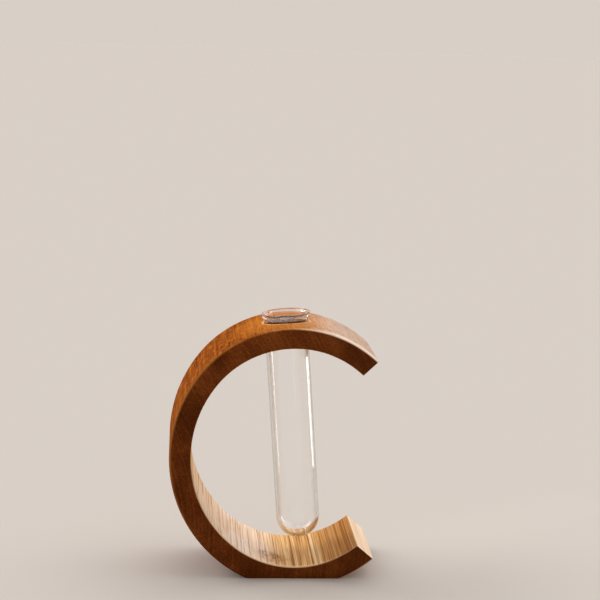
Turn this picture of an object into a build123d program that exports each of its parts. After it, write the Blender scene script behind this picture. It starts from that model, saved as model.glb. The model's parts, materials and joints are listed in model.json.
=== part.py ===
from build123d import *
import math
import os

os.makedirs("parts", exist_ok=True)

# A bud vase in two pieces: an open wooden ring that stands on a flat, and a glass
# test tube that hangs by its flared lip in a hole drilled through the ring's top.
# Frame: origin on the flat, under the oval's centre and at half the ring's depth.
# +X points to the ring's open side, +Y to the back, +Z up. Millimetres and degrees.

# Wooden ring
ring_width = 113.6  # outside, along the oval's short axis
ring_height = 121.0  # outside, along the oval's long axis, before the flat is cut
ring_turn = 8.0  # the long axis leans this far to the left of upright
ring_wall = 9.8  # at the two sides
inner_rise = 0.5  # the inner oval lies this much higher, so the wall is thicker below than above
ring_depth = 45.0  # front to back
flat_cut = 4.8  # taken off the oval's lowest point to make the flat
opening_angle = 84.0  # between the two saw cuts that open the ring's right side
opening_tilt = 2.0  # the line halfway between the two cuts rises this much to the right
opening_apex = -14.5  # where the two cuts would meet, to the right of the oval's centre
opening_drop = 3.0  # and below it
outer_round = 1.4  # the oval's outer edges, front and back, sanded round
inner_round = 0.6  # its inner edges

# Glass test tube
tube_diameter = 20.0
tube_wall = 1.2
lip_overhang = 1.25  # how far the lip stands out beyond the tube
flare_radius = 6.0  # the hollow curve under the lip
tube_lean = 5.0  # the top leans this far to the left
tube_aim = 0.7  # the tube's axis passes this far to the right of the oval's centre

# Fit of the tube in the ring
hole_clearance = 0.15  # all round the tube
seat_clearance = 0.35  # along the tube, before the flare meets the hole's mouth
floor_gap = 7.2  # along the tube, between its round bottom and the ring's inner face

# Worked out from the sizes above
half_width = ring_width / 2
half_height = ring_height / 2
tube_radius = tube_diameter / 2
bore_radius = tube_radius - tube_wall
turn = math.radians(ring_turn)
lean = math.radians(tube_lean)

# The oval is four arcs that join at 45 degrees to its axes; each arc's centre lies on an
# axis, as far from the oval's centre as the others
arc_shift = (half_height - half_width) / (2 - math.sqrt(2))
side_radius = half_width + arc_shift
end_radius = half_height - arc_shift
centre_height = end_radius + arc_shift * math.cos(turn) - flat_cut

# The tube's upright section: local x runs out from its axis, local y up along it
tube_section = Plane(
    origin=(tube_aim, 0, centre_height),
    x_dir=(math.cos(lean), 0, math.sin(lean)),
    z_dir=(0, -1, 0),
)
hole_plane = Plane(
    origin=tube_section.origin, x_dir=tube_section.x_dir, z_dir=tube_section.y_dir
)


def oval(inset, rise=0):
    """Draws the ring's oval, drawn in by inset and raised, starting with the arc on the right."""
    for quarter in range(4):
        facing = ring_turn + 90 * quarter
        shift, radius = (arc_shift, end_radius) if quarter % 2 else (-arc_shift, side_radius)
        arc_centre = Vector(0, centre_height + rise) + Vector(shift, 0).rotate(Axis.Z, facing)
        CenterArc(arc_centre, radius - inset, facing - 45, 90)


def oval_on_axis(inset, way, rise=0):
    """Where the tube's axis crosses such an oval: way 1 is up, -1 down."""
    along = Vector(0, 1).rotate(Axis.Z, tube_lean)
    to_arc_centre = Vector(0, way * arc_shift).rotate(Axis.Z, ring_turn) + Vector(-tube_aim, rise)
    aside = to_arc_centre.cross(along).length
    return to_arc_centre.dot(along) + way * math.sqrt((end_radius - inset) ** 2 - aside**2)


# Heights along the tube's axis: the flare rests where it has grown by the hole's clearance
seat_drop = math.sqrt(flare_radius**2 - (flare_radius - hole_clearance) ** 2)
flare_start = oval_on_axis(0, 1) - seat_drop + seat_clearance
bottom_centre = oval_on_axis(ring_wall, -1, inner_rise) + floor_gap + tube_radius
flare_centre = (tube_radius + flare_radius, flare_start)
rim_round = tube_wall / 2
rim_reach = flare_radius + rim_round
flare = math.acos((rim_reach - lip_overhang) / rim_reach)
flare_angle = math.degrees(flare)
rim_centre = (tube_radius + lip_overhang - rim_round, flare_start + rim_reach * math.sin(flare))

# Wooden ring: an oval band, sawn open on the right and flat underneath, then drilled
front = Plane.XZ.offset(-ring_depth / 2)
with BuildPart() as wooden_ring:
    with BuildSketch(front):
        with BuildLine():
            oval(0)
        make_face()
    extrude(amount=ring_depth)
    fillet(wooden_ring.edges().filter_by(GeomType.CIRCLE), outer_round)
    with BuildSketch(front):
        with BuildLine():
            oval(ring_wall, inner_rise)
        make_face()
    extrude(amount=ring_depth, mode=Mode.SUBTRACT)
    fillet(wooden_ring.edges(Select.LAST).filter_by(GeomType.CIRCLE), inner_round)
    with BuildSketch(front):
        with BuildLine():
            apex = (opening_apex, centre_height - opening_drop)
            upper_cut = PolarLine(apex, ring_width + ring_height, opening_tilt + opening_angle / 2)
            lower_cut = PolarLine(apex, ring_width + ring_height, opening_tilt - opening_angle / 2)
            Line(upper_cut @ 1, lower_cut @ 1)
        make_face()
    extrude(amount=ring_depth, mode=Mode.SUBTRACT)
    split(bisect_by=Plane.XY, keep=Keep.TOP)
    with BuildSketch(hole_plane):
        Circle(tube_radius + hole_clearance)
    extrude(amount=ring_height, mode=Mode.SUBTRACT)
wooden_ring.part.label = "wooden_ring"
export_step(wooden_ring.part, "parts/wooden_ring.step")

# Glass test tube: one drawn wall with a round bottom and a flared, fire-polished lip
with BuildPart() as test_tube:
    with BuildSketch(tube_section):
        with BuildLine():
            outer_bottom = CenterArc((0, bottom_centre), tube_radius, 270, 90)
            Line(outer_bottom @ 1, (tube_radius, flare_start))
            CenterArc(flare_centre, flare_radius, 180, -flare_angle)
            CenterArc(rim_centre, rim_round, -flare_angle, 180)
            CenterArc(flare_centre, flare_radius + tube_wall, 180 - flare_angle, flare_angle)
            inner_bottom = CenterArc((0, bottom_centre), bore_radius, 0, -90)
            Line((bore_radius, flare_start), inner_bottom @ 0)
            Line(inner_bottom @ 1, outer_bottom @ 0)
        make_face()
    revolve(axis=Axis(tube_section.origin, tube_section.y_dir))
test_tube.part.label = "test_tube"
export_step(test_tube.part, "parts/test_tube.step")
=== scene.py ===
import json
import math

import bmesh
import bpy
from mathutils import Matrix, Vector


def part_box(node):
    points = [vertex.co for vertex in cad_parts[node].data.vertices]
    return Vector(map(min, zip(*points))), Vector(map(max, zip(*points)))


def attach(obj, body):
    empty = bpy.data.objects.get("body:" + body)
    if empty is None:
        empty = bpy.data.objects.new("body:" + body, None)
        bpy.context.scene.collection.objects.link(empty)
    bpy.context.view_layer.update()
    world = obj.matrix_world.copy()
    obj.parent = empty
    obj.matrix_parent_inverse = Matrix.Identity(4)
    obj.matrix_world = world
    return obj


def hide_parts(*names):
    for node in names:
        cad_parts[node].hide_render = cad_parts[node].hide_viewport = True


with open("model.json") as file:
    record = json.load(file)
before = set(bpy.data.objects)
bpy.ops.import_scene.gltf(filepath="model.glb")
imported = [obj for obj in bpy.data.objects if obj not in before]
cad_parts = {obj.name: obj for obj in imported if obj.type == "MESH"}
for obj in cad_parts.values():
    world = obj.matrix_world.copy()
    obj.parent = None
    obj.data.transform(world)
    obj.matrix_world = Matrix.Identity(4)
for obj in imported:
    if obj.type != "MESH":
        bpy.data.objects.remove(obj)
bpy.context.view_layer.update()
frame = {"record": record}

# Wooden ring: an oval band of brown wood, its grain running front to back, sawn open on
# the right, cut flat underneath and drilled through at the top for the tube.
# The outer edges are sanded rounder than the inner ones, and the saw cuts are only eased.
mm = 0.001
ring_width = 113.6 * mm
ring_height = 121 * mm
ring_turn = math.radians(8)
ring_wall = 9.8 * mm
inner_rise = 0.5 * mm
flat_cut = 4.8 * mm
opening_angle = math.radians(84)
opening_tilt = math.radians(2)
opening_apex = -14.5 * mm
opening_drop = 3 * mm
outer_round = 1.4 * mm
inner_round = 0.6 * mm
sawn_round = 0.4 * mm
tube_radius = 10 * mm
tube_lean = math.radians(5)
tube_aim = 0.7 * mm
hole_clearance = 0.15 * mm
hole_radius = tube_radius + hole_clearance

# The oval is four arcs that join at 45 degrees to its axes
arc_shift = (ring_height - ring_width) / 2 / (2 - math.sqrt(2))
side_radius = ring_width / 2 + arc_shift
end_radius = ring_height / 2 - arc_shift
oval_centre = Vector((0, 0, end_radius + arc_shift * math.cos(ring_turn) - flat_cut))
mid_wall = (ring_width - ring_wall) / 2
ring_front, ring_back = (corner.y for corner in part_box("wooden_ring"))
to_the_back = Vector((0, 1, 0))
sweep_axis = (0, -1, 0)
first_angle, last_angle = 15, 315
joins = (first_angle, 45, 135, 225, last_angle)
steps_per_degree = 0.6


def round_the_oval(degrees):
    """The direction that many degrees round from the oval's short axis, to the right."""
    angle = ring_turn + math.radians(degrees)
    return Vector((math.cos(angle), 0, math.sin(angle)))


def edges_of(geometry):
    return [part for part in geometry if isinstance(part, bmesh.types.BMEdge)]


# The band: its section, with rounded corners, swept round the four arcs
ring = bmesh.new()
side_centre = oval_centre - arc_shift * round_the_oval(0)
section = [
    ring.verts.new(side_centre + radius * round_the_oval(first_angle) + y * to_the_back)
    for radius, y in (
        (side_radius, ring_front),
        (side_radius, ring_back),
        (side_radius - ring_wall, ring_back),
        (side_radius - ring_wall, ring_front),
    )
]
ring.faces.new(section)
for corners, size in ((section[:2], outer_round), (section[2:], inner_round)):
    bmesh.ops.bevel(
        ring,
        geom=corners,
        offset=size,
        offset_type="OFFSET",
        affect="VERTICES",
        segments=8,
        profile=0.5,
        material=-1,
    )
bmesh.ops.delete(ring, geom=ring.faces[:], context="FACES_ONLY")
swept = ring.edges[:]
for quarter, (start, end) in enumerate(zip(joins, joins[1:])):
    shift = arc_shift if quarter % 2 else -arc_shift
    turned = bmesh.ops.spin(
        ring,
        geom=swept,
        cent=oval_centre + shift * round_the_oval(90 * quarter),
        axis=sweep_axis,
        angle=math.radians(end - start),
        steps=round((end - start) * steps_per_degree),
    )
    swept = edges_of(turned["geom_last"])

# The inner oval lies a little higher, so the wall is thicker below than above
for vert in ring.verts:
    from_centre = vert.co - vert.co.y * to_the_back - oval_centre
    if from_centre.length < mid_wall:
        vert.co.z += inner_rise


def saw(through, outwards, near=lambda middle: True):
    """Cuts away what lies beyond a plane, where it is near, and returns the face of the cut."""
    faces = [face for face in ring.faces if near(face.calc_center_median())]
    edges = {edge for face in faces for edge in face.edges}
    verts = {vert for face in faces for vert in face.verts}
    cut = bmesh.ops.bisect_plane(
        ring, geom=[*verts, *edges, *faces], plane_co=through, plane_no=outwards, clear_outer=True
    )
    return bmesh.ops.edgeloop_fill(ring, edges=edges_of(cut["geom_cut"]))["faces"]


def ease_edge(face, size, steps=3):
    """Raises a face in smaller and smaller copies, so that its edge is a quarter round."""
    for step in range(steps):
        start, end = (math.pi / 2 * (step + more) / steps for more in (0, 1))
        bmesh.ops.inset_region(
            ring,
            faces=[face],
            thickness=size * (math.cos(start) - math.cos(end)),
            depth=size * (math.sin(end) - math.sin(start)),
            use_boundary=True,
            use_even_offset=True,
        )


# The flat underneath, then the two cuts that open the right side
saw(Vector(), Vector((0, 0, -1)))
apex = oval_centre + Vector((opening_apex, 0, -opening_drop))
sawn_ends = []
for half in (1, -1):
    slope = opening_angle / 2 + half * opening_tilt
    to_opening = Vector((math.sin(slope), 0, -half * math.cos(slope)))
    sawn_ends += saw(
        apex - sawn_round * to_opening,
        to_opening,
        lambda middle: middle.x > 0 and (middle - oval_centre).z * half > 0,
    )
bmesh.ops.recalc_face_normals(ring, faces=ring.faces[:])
for face in sawn_ends:
    ease_edge(face, sawn_round)

# The hole is drilled along the leaning tube's axis
up_the_tube = Vector((-math.sin(tube_lean), 0, math.cos(tube_lean)))
tube_shift = Matrix.Translation(oval_centre + Vector((tube_aim, 0, 0)))
tube_place = tube_shift @ Matrix.Rotation(-tube_lean, 4, "Y")
drill = bmesh.new()
bmesh.ops.create_cone(
    drill,
    cap_ends=True,
    segments=128,
    radius1=hole_radius,
    radius2=hole_radius,
    depth=ring_height,
    matrix=tube_place @ Matrix.Translation((0, 0, ring_height / 2)),
)


class Wire:
    """One output of a shader node. Arithmetic on it adds Math nodes to the same material."""

    def __init__(self, socket):
        self.socket = socket

    def node(self, kind, settings=None, inputs=None, output=0):
        """Adds any node: its settings are set first, then its sockets are set or linked."""
        tree = self.socket.id_data
        made = tree.nodes.new("ShaderNode" + kind)
        for name, value in (settings or {}).items():
            if name == "stops":
                ramp = made.color_ramp.elements
                while len(ramp) < len(value):
                    ramp.new(0.5)
                for element, (position, colour) in zip(ramp, value):
                    element.position = position
                    element.color = colour
            else:
                setattr(made, name, value)
        for name, value in (inputs or {}).items():
            if isinstance(value, Wire):
                tree.links.new(value.socket, made.inputs[name])
            else:
                made.inputs[name].default_value = value
        return Wire(made.outputs[output])

    def math(self, operation, first, second=0.0):
        return self.node("Math", {"operation": operation}, {0: first, 1: second})

    def __add__(self, other):
        return self.math("ADD", self, other)

    __radd__ = __add__

    def __sub__(self, other):
        return self.math("SUBTRACT", self, other)

    def __rsub__(self, other):
        return self.math("SUBTRACT", other, self)

    def __mul__(self, other):
        return self.math("MULTIPLY", self, other)

    __rmul__ = __mul__

    def vector(self, operation, *others, output=0):
        inputs = dict(enumerate((self, *others)))
        return self.node("VectorMath", {"operation": operation}, inputs, output)

    def between(self, start, end):
        """0 up to start, 1 from end on, and a smooth step between; start may be the higher."""
        limits = {"Value": self, "From Min": start, "From Max": end}
        return self.node("MapRange", {"interpolation_type": "SMOOTHSTEP"}, limits)

    def noise(self, stretch, detail=3.0, roughness=0.55, output=0):
        """Soft noise whose grains are as long, in each direction, as stretch says."""
        stretched = self.vector("DIVIDE", stretch)
        inputs = {"Vector": stretched, "Scale": 1.0, "Detail": detail, "Roughness": roughness}
        return self.node("TexNoise", None, inputs, output)

    def ramp(self, *stops):
        return self.node("ValToRGB", {"stops": stops}, {0: self})

    def mix(self, factor, other):
        return self.node("Mix", {"data_type": "RGBA"}, {0: factor, 6: self, 7: other}, output=2)


def srgb(red, green, blue):
    """A colour as it looks on a screen, 0 to 255, as the linear colour that shaders take."""

    def linear(shade):
        share = shade / 255
        return share / 12.92 if share <= 0.04045 else ((share + 0.055) / 1.055) ** 2.4

    return (linear(red), linear(green), linear(blue), 1.0)


def new_finish(name):
    """A new material and its shader."""
    material = bpy.data.materials.new(name)
    material.use_nodes = True
    return material, material.node_tree.nodes["Principled BSDF"]


def coordinates(shader, kind):
    """The piece's own coordinates, or its normals, as a wire."""
    return Wire(shader.outputs[0]).node("TexCoord", output=kind)


def feed(shader, **wires):
    """Links each wire to the shader's socket of that name."""
    for name, wire in wires.items():
        shader.id_data.links.new(wire.socket, shader.inputs[name.replace("_", " ")])


# The wood's finish works in millimetres: to the right, to the back and up
oiled_wood, wood_shader = new_finish("oiled_wood")
spot = coordinates(wood_shader, "Object").vector("MULTIPLY", (1 / mm,) * 3)
facing = coordinates(wood_shader, "Normal")
across, depth, level = (
    spot.node("SeparateXYZ", None, {0: spot}, output=axis) for axis in range(3)
)

# Where a point is: on the oval faces, the front and back, the rounding or by the hole
away = spot.vector("SUBTRACT", tuple(oval_centre / mm)).vector("MULTIPLY", (1, 0, 1))
outwards = facing.vector("DOT_PRODUCT", away.vector("NORMALIZE"), output=1)
upwards = facing.vector("DOT_PRODUCT", (0, 0, 1), output=1)
endways = facing.vector("DOT_PRODUCT", (0, 1, 0), output=1)
endways = endways.math("ABSOLUTE", endways)
outer_face = outwards.between(0.25, 0.75)
inner_face = outwards.between(-0.25, -0.75)
outer_side = outwards.between(-0.3, 0.3)
end_grain = endways.between(0.45, 0.8)
rounding = endways.between(0.06, 0.3)
from_hole = spot.vector("SUBTRACT", tuple(tube_place.translation / mm))
from_hole = from_hole.vector("CROSS_PRODUCT", up_the_tube).vector("LENGTH", output=1)

# The grain: growth lines bowed round a heart far to the left, with streaks, fibres and
# pores along them, and the slower figure and fine speckle of the wood
heart = (-150, 0, 20)
wobble = spot.noise((18, 70, 18), detail=2, output=1).vector("SUBTRACT", (0.5,) * 3)
grain_spot = wobble.vector("MULTIPLY_ADD", (1.6, 0, 1.6), spot)
from_heart = grain_spot.vector("SUBTRACT", heart).vector("MULTIPLY", (1, 0, 1))
from_heart = from_heart.vector("LENGTH", output=1)
growth_lines = {"W": from_heart, "Scale": 0.8, "Detail": 4.0, "Roughness": 0.65}
growth = from_heart.node("TexNoise", {"noise_dimensions": "1D"}, growth_lines)
streak = grain_spot.noise((1.3, 110, 1.3), detail=2)
inner_streak = grain_spot.noise((0.75, 90, 0.75), detail=2)
fibre = grain_spot.noise((0.5, 35, 0.5), detail=4, roughness=0.6)
figure = spot.noise((14, 30, 14), detail=2)
speckle = spot.noise((0.45, 3, 0.45), roughness=0.7)
pore_spot = grain_spot.vector("DIVIDE", (0.8, 13, 0.8))
pores = pore_spot.node("TexVoronoi", None, {"Vector": pore_spot, "Scale": 1.0})
pores = pores.between(0.34, 0.14)

# The outer face: mid brown with lighter flecks of painted shimmer, lighter round the hole, and
# lighter on the right by a painted reflection
outer_tone = 0.2 * growth + 0.4 * streak + 0.4 * fibre
outer_colour = outer_tone.ramp(
    (0.38, srgb(106, 47, 9)),
    (0.46, srgb(134, 65, 15)),
    (0.54, srgb(156, 80, 20)),
    (0.64, srgb(190, 108, 36)),
)
# Painted sheen: lighter flecks that stand in for the shimmer of the figure
painted_shimmer_fleck = spot.noise((2.2, 6, 2.2)).between(0.48, 0.66)
# Painted reflection: the outer face made lighter towards the right, in fine streaks
painted_sheen = across.between(-10, 16) * spot.noise((1.1, 7, 1.1), roughness=0.65).between(0.3, 0.66)
outer_colour = outer_colour.mix(0.45 * painted_shimmer_fleck, srgb(206, 118, 40))
outer_colour = outer_colour.mix(0.45 * from_hole.between(30, 12), srgb(224, 138, 52))
outer_colour = outer_colour.mix(0.7 * from_hole.between(12, 10.4), srgb(240, 196, 150))
outer_colour = outer_colour.mix(0.65 * painted_sheen, srgb(208, 166, 114))

# The inner face: streaked gold, pale on the lower left with painted glare, and browner on the
# right
inner_tone = 0.2 * growth + 0.2 * streak + 0.4 * inner_streak + 0.2 * fibre
inner_colour = inner_tone.ramp(
    (0.4, srgb(140, 82, 28)),
    (0.47, srgb(206, 148, 78)),
    (0.52, srgb(230, 178, 110)),
    (0.6, srgb(252, 218, 168)),
)
# Painted glare: the lower left of the inner face made pale, with lighter patches in it
painted_glare_zone = across.between(-3, -15) * level.between(64, 12)
painted_glare_zone = painted_glare_zone * (0.35 + 0.65 * inner_tone.between(0.42, 0.53))
inner_colour = inner_colour.mix(0.7 * painted_glare_zone, srgb(246, 214, 184))
inner_colour = inner_colour.mix(0.5 * painted_glare_zone * figure.between(0.46, 0.6), srgb(255, 236, 222))
inner_colour = inner_colour.mix(0.6 * across.between(11, 20), srgb(164, 98, 26))

# The saw cuts, pale in part by their own colour and in part by a painted reflection, and the dark
# end grain of the front and back
# The saw cuts' pale tones hold a painted reflection as well as their own colour
sawn_tone = 0.34 * growth + 0.34 * streak + 0.32 * fibre
sawn_colour = sawn_tone.ramp(
    (0.38, srgb(222, 168, 112)), (0.5, srgb(244, 202, 156)), (0.62, srgb(253, 226, 190))
)
# Painted light: the end grain is made a little lighter near the top
end_tone = 0.45 * speckle + 0.2 * growth + 0.35 * figure + 0.05 * level.between(88, 112)
end_colour = end_tone.ramp(
    (0.4, srgb(80, 35, 9)), (0.5, srgb(106, 51, 16)), (0.6, srgb(140, 73, 28))
)
# Painted shade: the end grain is darkened towards the right
end_colour = end_colour.mix(0.4 * across.between(0, 34), srgb(64, 28, 7))

hole_wall = from_hole.between(10.4, 10.2) * level.between(80, 95)
pore_tint = 0.15 + 0.3 * outer_face + 0.35 * end_grain
colour = sawn_colour.mix(outer_face, outer_colour).mix(inner_face, inner_colour)
colour = colour.mix(hole_wall, srgb(150, 84, 34)).mix(end_grain, end_colour)
colour = colour.mix(pore_tint * pores, srgb(70, 30, 8))

# The sanded edges: a painted highlight in tan on the far left, painted shade underneath, pale
# along the inner bottom, a painted highlight beside the front edge on the right, and specks of
# wear all along, with a painted highlight in them that grows towards the right front
outer_edge = rounding * endways.between(0.99, 0.88) * outer_side
# Painted highlight: the outer edge's rounding on the far left, tan where it catches the light
painted_tan_highlight = outer_edge * upwards.between(-0.5, 0) * across.between(-25, -48)
# Painted shade: the outer edge's rounding darkened where it faces down
painted_edge_shade = outer_edge * upwards.between(-0.25, -0.6)
inner_edge = outwards.between(-0.1, -0.3) * (depth - 2 * fibre).between(-21, -23)
inner_edge = inner_edge * level.between(60, 20) * across.between(24, 2)
# Painted highlight: a pale band on the outer face beside the front edge, on the right
painted_edge_highlight = (depth - 6 * fibre).between(-18.5, -23.5) * across.between(0, 24) * outer_face
colour = colour.mix(0.8 * painted_tan_highlight, srgb(152, 94, 46)).mix(0.4 * painted_edge_shade, srgb(44, 17, 3))
colour = colour.mix(0.75 * inner_edge, srgb(252, 210, 166))
colour = colour.mix(0.7 * painted_edge_highlight, srgb(250, 218, 188))
# Specks of wear along the edges with a painted highlight in them, paler and stronger towards the
# right front and on faces that turn up
rightwards = across.between(-25, 20)
wear_and_highlight_colour = rightwards.ramp(
    (0.0, srgb(196, 118, 50)), (0.5, srgb(240, 178, 110)), (1.0, srgb(255, 228, 200))
)
wear_and_highlight = rounding * endways.between(0.95, 0.72) * upwards.between(-0.2, 0.3)
wear_and_highlight = wear_and_highlight * (0.35 + 0.65 * rightwards * depth.between(15, -15)) * (0.3 + 0.7 * outer_side)
wear_and_highlight = wear_and_highlight * (0.6 + 0.4 * spot.noise((6, 6, 6), detail=2).between(0.4, 0.6))
colour = colour.mix(wear_and_highlight * speckle.between(0.2, 0.5), wear_and_highlight_colour)

# Marks on the inner bottom: a stain of handling with two dark spots in it, and a pale line
# of fibres with a dark one beside it
bottom_level = 6
mottle = 0.35 + 0.65 * spot.noise((2, 4, 2), roughness=0.6).between(0.4, 0.58)


def smudge(right, back, size):
    """A soft, mottled spot on the inner bottom."""
    from_middle = grain_spot.vector("SUBTRACT", (right, back, bottom_level))
    reach = from_middle.vector("DIVIDE", size).vector("LENGTH", output=1)
    return reach.between(1.2, 0.1) * mottle * inner_face


def beside(right, waver):
    """How far a point is from a line that runs front to back and wavers with the fibres."""
    aside = across - right + waver * fibre
    return aside.math("ABSOLUTE", aside)


stain = smudge(-8, -13, (10, 9, 9))
left_spot = smudge(-13, -8, (2.4, 4.5, 9))
right_spot = smudge(-7.6, -9, (2.8, 4.5, 9))
dark_line = inner_face * beside(12.5, 0.5).between(0.6, 0.2)
pale_line = inner_face * beside(11.5, 0.3).between(0.55, 0.15)
colour = colour.mix(0.75 * stain, srgb(172, 114, 50))
colour = colour.mix(0.6 * left_spot, srgb(90, 54, 16)).mix(0.7 * right_spot, srgb(90, 54, 16))
colour = colour.mix(0.45 * dark_line, srgb(132, 82, 34)).mix(0.8 * pale_line, srgb(248, 214, 168))

# The oil's sheen is strongest on the right arm and on the lower left of the inside, where the
# glare is also painted
outer_sheen = 0.96 * across.between(2, 20) * (1 - inner_face) * endways.between(0.98, 0.8)
inner_sheen = inner_face * (0.15 + 0.8 * painted_glare_zone) * (1 - stain) * endways.between(0.3, 0.05)
height = 0.6 * fibre + 0.3 * growth - 0.5 * pores
bump = height.node("Bump", None, {"Height": height, "Strength": 0.6, "Distance": 0.12 * mm})
wood_shader.inputs["Specular IOR Level"].default_value = 0.0
wood_shader.inputs["Coat Roughness"].default_value = 0.3
feed(
    wood_shader,
    Base_Color=colour,
    Roughness=0.5 + 0.2 * fibre,
    Coat_Weight=0.04 + outer_sheen + inner_sheen,
    Normal=bump,
)


def placed(name, data):
    """A new object in the scene."""
    made = bpy.data.objects.new(name, data)
    bpy.context.scene.collection.objects.link(made)
    return made


def piece(name, mesh_data, material):
    """A finished mesh as an object at the origin, with its material."""
    mesh_data.materials.append(material)
    return placed(name, mesh_data)


solid_ring = bpy.data.meshes.new("solid_ring")
ring.to_mesh(solid_ring)
solid_ring.shade_smooth()
solid_ring.set_sharp_from_angle(angle=math.radians(35))
drill_data = bpy.data.meshes.new("drill")
drill.to_mesh(drill_data)
undrilled = piece("undrilled_ring", solid_ring, oiled_wood)
drill_bit = piece("drill_bit", drill_data, oiled_wood)
drilling = undrilled.modifiers.new("hole", "BOOLEAN")
drilling.object = drill_bit
weighting = undrilled.modifiers.new("even_shading", "WEIGHTED_NORMAL")
weighting.keep_sharp = True
after_drilling = undrilled.evaluated_get(bpy.context.evaluated_depsgraph_get())
drilled = bpy.data.meshes.new_from_object(after_drilling)
for scrap in (undrilled, drill_bit):
    bpy.data.objects.remove(scrap)
drilled.materials.clear()
wooden_ring = piece("oval_ring", drilled, oiled_wood)
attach(wooden_ring, "stand")
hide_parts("wooden_ring")

# Test tube: one piece of clear drawn glass with a round bottom and a flared lip, melted smooth
# at the rim. It hangs loose in the ring's hole by the lip, and lifts straight out.
tube_wall = 1.2 * mm
lip_overhang = 1.25 * mm
flare_radius = 6 * mm
bore = next(mount for mount in frame["record"]["mounts"] if mount["name"] == "tube_mouth")
bore_half = bore["dims"]["length_mm"] * mm / 2
bore_middle = (Vector(bore["pos_m"]) - tube_place.translation).dot(up_the_tube)
flare_start = bore_middle + bore_half
bottom_centre = Vector((0, 0, bore_middle - bore_half))
rim_round = tube_wall / 2
rim_reach = flare_radius + rim_round
flare = math.acos((rim_reach - lip_overhang) / rim_reach)
rim_height = flare_start + rim_reach * math.sin(flare)
flare_centre = Vector((tube_radius + flare_radius, 0, flare_start))
rim_centre = Vector((tube_radius + lip_overhang - rim_round, 0, rim_height))
bottom_steps, flare_steps, rim_steps, round_steps = 24, 8, 12, 144

tube = bmesh.new()


def draw_arc(start, centre, angle, steps):
    """Carries the wall's outline on round an arc, counterclockwise, to the point it returns."""
    drawn = bmesh.ops.spin(
        tube, geom=[start], cent=centre, axis=sweep_axis, angle=angle, steps=steps
    )
    return next(part for part in drawn["geom_last"] if isinstance(part, bmesh.types.BMVert))


def draw_line(start, height):
    """Carries the wall's outline on straight up or down to that height along the tube."""
    drawn = bmesh.ops.extrude_vert_indiv(tube, verts=[start])["verts"][0]
    drawn.co.z = height
    return drawn


# The wall's outline, from under the bottom up the outside, over the rim and down the inside
tip = tube.verts.new((0, 0, bottom_centre.z - tube_radius))
tip = draw_arc(tip, bottom_centre, math.pi / 2, bottom_steps)
tip = draw_line(tip, flare_start)
tip = draw_arc(tip, flare_centre, -flare, flare_steps)
tip = draw_arc(tip, rim_centre, math.pi, rim_steps)
tip = draw_arc(tip, flare_centre, flare, flare_steps)
tip = draw_line(tip, bottom_centre.z)
draw_arc(tip, bottom_centre, -math.pi / 2, bottom_steps)
bmesh.ops.spin(
    tube,
    geom=tube.verts[:] + tube.edges[:],
    cent=(0, 0, 0),
    axis=(0, 0, 1),
    angle=2 * math.pi,
    steps=round_steps,
    use_merge=True,
)
bmesh.ops.remove_doubles(tube, verts=tube.verts[:], dist=0.001 * mm)
bmesh.ops.recalc_face_normals(tube, faces=tube.faces[:])
bmesh.ops.transform(tube, matrix=tube_place, verts=tube.verts[:])
tube_data = bpy.data.meshes.new("glass_tube")
tube.to_mesh(tube_data)
tube_data.shade_smooth()

# The glass has faint smears, and its straight wall is darker where it is seen edge on
clear_glass, glass_shader = new_finish("clear_glass")
place = coordinates(glass_shader, "Object")
smear = place.vector("MULTIPLY", (1 / mm,) * 3).noise((9, 9, 16)).between(0.5, 0.8)
edge_on = place.node("LayerWeight", None, {"Blend": 0.5}, output=1)
up_tube = place.vector("SUBTRACT", tube_place.translation)
up_tube = up_tube.vector("DOT_PRODUCT", up_the_tube, output=1)
straight_wall = up_tube.between(flare_start + 1.5 * mm, flare_start)
tint = (edge_on * straight_wall).ramp((0.4, srgb(255, 255, 255)), (0.88, srgb(176, 170, 158)))
glass_shader.inputs["Transmission Weight"].default_value = 1.0
glass_shader.inputs["IOR"].default_value = 1.47
feed(glass_shader, Base_Color=tint, Roughness=0.03 * smear, Alpha=0.7 + 0.3 * straight_wall)
test_tube = piece("glass_tube", tube_data, clear_glass)
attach(test_tube, "tube")
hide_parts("test_tube")

# Floor: a plain pale surface that the vase stands on, wide enough to reach the horizon.
# It is matt, so it takes the vase's soft shadow and no reflection.
floor_size = 60.0
floor_mesh = bmesh.new()
bmesh.ops.create_grid(floor_mesh, x_segments=1, y_segments=1, size=floor_size)
floor_data = bpy.data.meshes.new("floor")
floor_mesh.to_mesh(floor_data)
floor_finish, floor_shader = new_finish("pale_floor")
floor_shader.inputs["Base Color"].default_value = srgb(203, 194, 185)
floor_shader.inputs["Roughness"].default_value = 1.0
floor_shader.inputs["Specular IOR Level"].default_value = 0.0
floor = piece("floor", floor_data, floor_finish)

# Light: two broad soft lamps high behind the vase, one on each side, and a pale sky all round.
# A small strip lamp, low on the right behind the vase and hidden from the camera, draws the
# long highlight on the tube's right side.


def aim(lamp, way):
    """Turns a lamp to shine that way."""
    lamp.rotation_euler = way.to_track_quat("-Z", "Y").to_euler()


def soft_lamp(name, stand, spread, strength):
    """A far lamp on that side; at a strength of 1 it shows what faces it as it is coloured."""
    data = bpy.data.lights.new(name, "SUN")
    data.angle = math.radians(spread)
    data.energy = math.pi * strength
    aim(placed(name, data), -Vector(stand))


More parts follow.
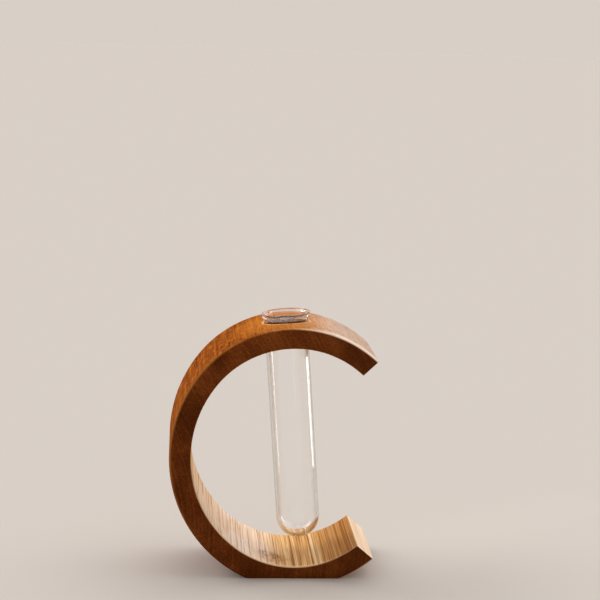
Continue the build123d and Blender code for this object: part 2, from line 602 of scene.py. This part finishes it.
soft_lamp("left_lamp", stand=(-0.75, 0.3, 0.65), spread=45, strength=0.5)
soft_lamp("right_lamp", stand=(0.4, 0.5, 0.8), spread=90, strength=0.64)

strip_data = bpy.data.lights.new("strip_lamp", "AREA")
strip_data.shape = "RECTANGLE"
strip_data.size = 36 * mm
strip_data.size_y = 110 * mm
strip_data.energy = 0.005
strip_data.spread = math.radians(40)
strip_lamp = placed("strip_lamp", strip_data)
strip_lamp.location = Vector((180, 100, 56)) * mm
aim(strip_lamp, Vector((-0.87, -0.5, 0)))
strip_lamp.visible_camera = False

world = bpy.data.worlds.new("pale_room")
world.use_nodes = True
room = world.node_tree
sky_shader = room.nodes["Background"]
sky_shader.inputs["Color"].default_value = srgb(240, 240, 242)
sky_shader.inputs["Strength"].default_value = 0.4
sky = Wire(sky_shader.outputs[0])
backdrop = sky.node("Background", None, {"Color": srgb(216, 207, 198)})
seen = 0
for ray in ("Is Camera Ray", "Is Transmission Ray", "Is Glossy Ray"):
    seen = sky.math("MAXIMUM", sky.node("LightPath", output=ray), seen)
either = sky.node("MixShader", None, {0: seen, 1: sky, 2: backdrop})
room.links.new(either.socket, room.nodes["World Output"].inputs["Surface"])
bpy.context.scene.world = world

# Camera: a little above the vase and to its left, about 0.7 m away, with a long lens.
# It is rolled slightly, and the vase stands in the lower half of the frame.
camera_yaw, camera_pitch, camera_roll = (math.radians(turn) for turn in (4.686, 9.725, -1.789))
camera_aim = Vector((1.559, 0, 125.1)) * mm
camera_distance = 685.552 * mm
camera_turn = Matrix.Rotation(-camera_yaw, 3, "Z") @ Matrix.Rotation(-camera_pitch, 3, "X")
look = camera_turn @ to_the_back
roll = Matrix.Rotation(-camera_roll, 3, "Z").to_quaternion()
camera_data = bpy.data.cameras.new("camera")
camera_data.lens = 90
camera_data.sensor_width = 36
camera = placed("camera", camera_data)
camera.rotation_mode = "QUATERNION"
camera.rotation_quaternion = look.to_track_quat("-Z", "Y") @ roll
camera.location = camera_aim - camera_distance * look
bpy.context.scene.camera = camera

# Colours show as they are written, and the two boxes are kept
bpy.context.scene.view_settings.view_transform = "Standard"
